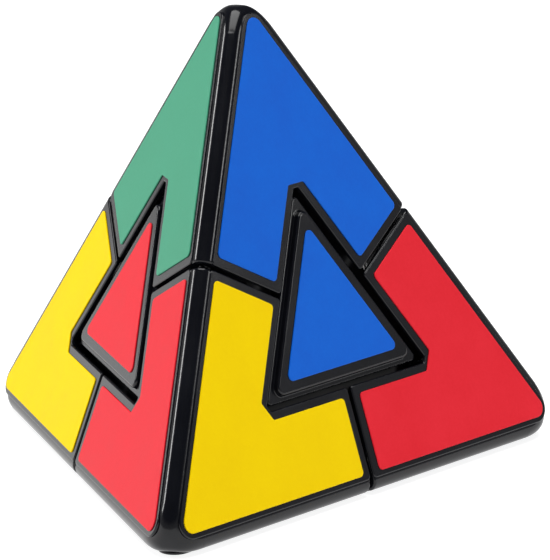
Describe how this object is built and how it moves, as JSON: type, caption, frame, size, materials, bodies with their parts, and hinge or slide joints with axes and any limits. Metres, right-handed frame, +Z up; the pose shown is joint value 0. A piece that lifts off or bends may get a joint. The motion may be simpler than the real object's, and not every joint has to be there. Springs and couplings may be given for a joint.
{
  "type": "pyramid twisty puzzle",
  "caption": "Palm-sized tetrahedral twisty puzzle: black plastic corner pieces with chevron stickers turn around triangular face pieces on a hidden ball core.",
  "frame": {"origin": "centre of the core ball, where the four turning axes cross; it is also the centre of the pyramid", "axes": "+Z up along the turning axis of the top corner, -Y towards the front bottom corner; the puzzle rests on one face, whose normal is -Z"},
  "size_m": [0.089, 0.0782, 0.0733],
  "materials": {
    "black_plastic": "gloss black moulded ABS",
    "inner_plastic": "satin black moulded ABS",
    "steel": "plain steel",
    "green_sticker": "satin vinyl sticker, green",
    "blue_sticker": "satin vinyl sticker, blue",
    "red_sticker": "satin vinyl sticker, red",
    "yellow_sticker": "satin vinyl sticker, yellow"
  },
  "bodies": {
    "core": {"core_post_1": "inner_plastic", "screw_1": "steel", "washer_1": "steel", "spring_1": "steel", "core_post_2": "inner_plastic", "screw_2": "steel", "washer_2": "steel", "spring_2": "steel", "core_post_3": "inner_plastic", "screw_3": "steel", "washer_3": "steel", "spring_3": "steel", "core_post_4": "inner_plastic", "screw_4": "steel", "washer_4": "steel", "spring_4": "steel"},
    "corner_1": {"corner_shell_1": "black_plastic", "corner_base_1": "inner_plastic", "chevron_1_face_2": "red_sticker", "chevron_1_face_3": "green_sticker", "chevron_1_face_4": "blue_sticker"},
    "corner_2": {"corner_shell_2": "black_plastic", "corner_base_2": "inner_plastic", "chevron_2_face_1": "green_sticker", "chevron_2_face_3": "red_sticker", "chevron_2_face_4": "yellow_sticker"},
    "corner_3": {"corner_shell_3": "black_plastic", "corner_base_3": "inner_plastic", "chevron_3_face_1": "blue_sticker", "chevron_3_face_2": "yellow_sticker", "chevron_3_face_4": "red_sticker"},
    "corner_4": {"corner_shell_4": "black_plastic", "corner_base_4": "inner_plastic", "chevron_4_face_1": "blue_sticker", "chevron_4_face_2": "green_sticker", "chevron_4_face_3": "yellow_sticker"},
    "hub_ball": {"core_ball": "inner_plastic"},
    "face_1": {"face_cap_1": "black_plastic", "triangle_1": "green_sticker", "face_pin_1": "inner_plastic"},
    "face_2": {"face_cap_2": "black_plastic", "triangle_2": "yellow_sticker", "face_pin_2": "inner_plastic"},
    "face_3": {"face_cap_3": "black_plastic", "triangle_3": "red_sticker", "face_pin_3": "inner_plastic"},
    "face_4": {"face_cap_4": "black_plastic", "triangle_4": "blue_sticker"},
    "face_4_pin": {"face_pin_4": "inner_plastic"},
    "edge_1_2": {"edge_piece_1_2": "inner_plastic"},
    "edge_1_3": {"edge_piece_1_3": "inner_plastic"},
    "edge_1_4": {"edge_piece_1_4": "inner_plastic"},
    "edge_2_3": {"edge_piece_2_3": "inner_plastic"},
    "edge_3_4": {"edge_piece_3_4": "inner_plastic"},
    "edge_4_2": {"edge_piece_4_2": "inner_plastic"}
  },
  "joints": [
    {"name": "twist_1", "type": "hinge", "parent": "core", "child": "corner_1", "pos_m": [0, 0, 0], "axis": [0, 0, 1], "range_deg": [-120, 120]},
    {"name": "twist_2", "type": "hinge", "parent": "core", "child": "corner_2", "pos_m": [0, 0, 0], "axis": [0, -0.9428, -0.3333], "range_deg": [-120, 120]},
    {"name": "twist_3", "type": "hinge", "parent": "core", "child": "corner_3", "pos_m": [0, 0, 0], "axis": [0.8165, 0.4714, -0.3333], "range_deg": [-120, 120]},
    {"name": "twist_4", "type": "hinge", "parent": "core", "child": "corner_4", "pos_m": [0, 0, 0], "axis": [-0.8165, 0.4714, -0.3333], "range_deg": [-120, 120]},
    {"name": "ball_turn", "type": "hinge", "parent": "corner_1", "child": "hub_ball", "pos_m": [0, 0, 0], "axis": [0, -0.9428, -0.3333], "range_deg": [-120, 120]},
    {"name": "face_4_turn", "type": "hinge", "parent": "hub_ball", "child": "face_4", "pos_m": [0, 0, 0], "axis": [0.8165, 0.4714, -0.3333], "range_deg": [-120, 120]},
    {"name": "pin_turn", "type": "hinge", "parent": "face_4", "child": "face_4_pin", "pos_m": [0, 0, 0], "axis": [-0.8165, 0.4714, -0.3333], "range_deg": [-120, 120]},
    {"name": "face_1_turn", "type": "hinge", "parent": "face_4_pin", "child": "face_1", "pos_m": [0, 0, 0], "axis": [0, 0, 1], "range_deg": [-120, 120]},
    {"name": "face_2_turn", "type": "hinge", "parent": "face_4_pin", "child": "face_2", "pos_m": [0, 0, 0], "axis": [0, -0.9428, -0.3333], "range_deg": [-120, 120]},
    {"name": "face_3_turn", "type": "hinge", "parent": "face_4_pin", "child": "face_3", "pos_m": [0, 0, 0], "axis": [0.8165, 0.4714, -0.3333], "range_deg": [-120, 120]},
    {"name": "edge_1_2_turn", "type": "hinge", "parent": "corner_1", "child": "edge_1_2", "pos_m": [0, 0, 0], "axis": [0, -0.9428, -0.3333], "range_deg": [-120, 120]},
    {"name": "edge_1_3_turn", "type": "hinge", "parent": "corner_1", "child": "edge_1_3", "pos_m": [0, 0, 0], "axis": [0.8165, 0.4714, -0.3333], "range_deg": [-120, 120]},
    {"name": "edge_1_4_turn", "type": "hinge", "parent": "corner_1", "child": "edge_1_4", "pos_m": [0, 0, 0], "axis": [-0.8165, 0.4714, -0.3333], "range_deg": [-120, 120]},
    {"name": "edge_2_3_turn", "type": "hinge", "parent": "corner_2", "child": "edge_2_3", "pos_m": [0, 0, 0], "axis": [0.8165, 0.4714, -0.3333], "range_deg": [-120, 120]},
    {"name": "edge_3_4_turn", "type": "hinge", "parent": "corner_3", "child": "edge_3_4", "pos_m": [0, 0, 0], "axis": [-0.8165, 0.4714, -0.3333], "range_deg": [-120, 120]},
    {"name": "edge_4_2_turn", "type": "hinge", "parent": "corner_4", "child": "edge_4_2", "pos_m": [0, 0, 0], "axis": [0, -0.9428, -0.3333], "range_deg": [-120, 120]}
  ],
  "couplings": [
    {"joint": "ball_turn", "follows": "twist_2", "ratio": 1},
    {"joint": "face_4_turn", "follows": "twist_3", "ratio": 1},
    {"joint": "pin_turn", "follows": "twist_4", "ratio": 1},
    {"joint": "face_1_turn", "follows": "twist_1", "ratio": -1},
    {"joint": "face_2_turn", "follows": "twist_2", "ratio": -1},
    {"joint": "face_3_turn", "follows": "twist_3", "ratio": -1},
    {"joint": "edge_1_2_turn", "follows": "twist_2", "ratio": 1},
    {"joint": "edge_1_3_turn", "follows": "twist_3", "ratio": 1},
    {"joint": "edge_1_4_turn", "follows": "twist_4", "ratio": 1},
    {"joint": "edge_2_3_turn", "follows": "twist_3", "ratio": 1},
    {"joint": "edge_3_4_turn", "follows": "twist_4", "ratio": 1},
    {"joint": "edge_4_2_turn", "follows": "twist_2", "ratio": 1}
  ]
}
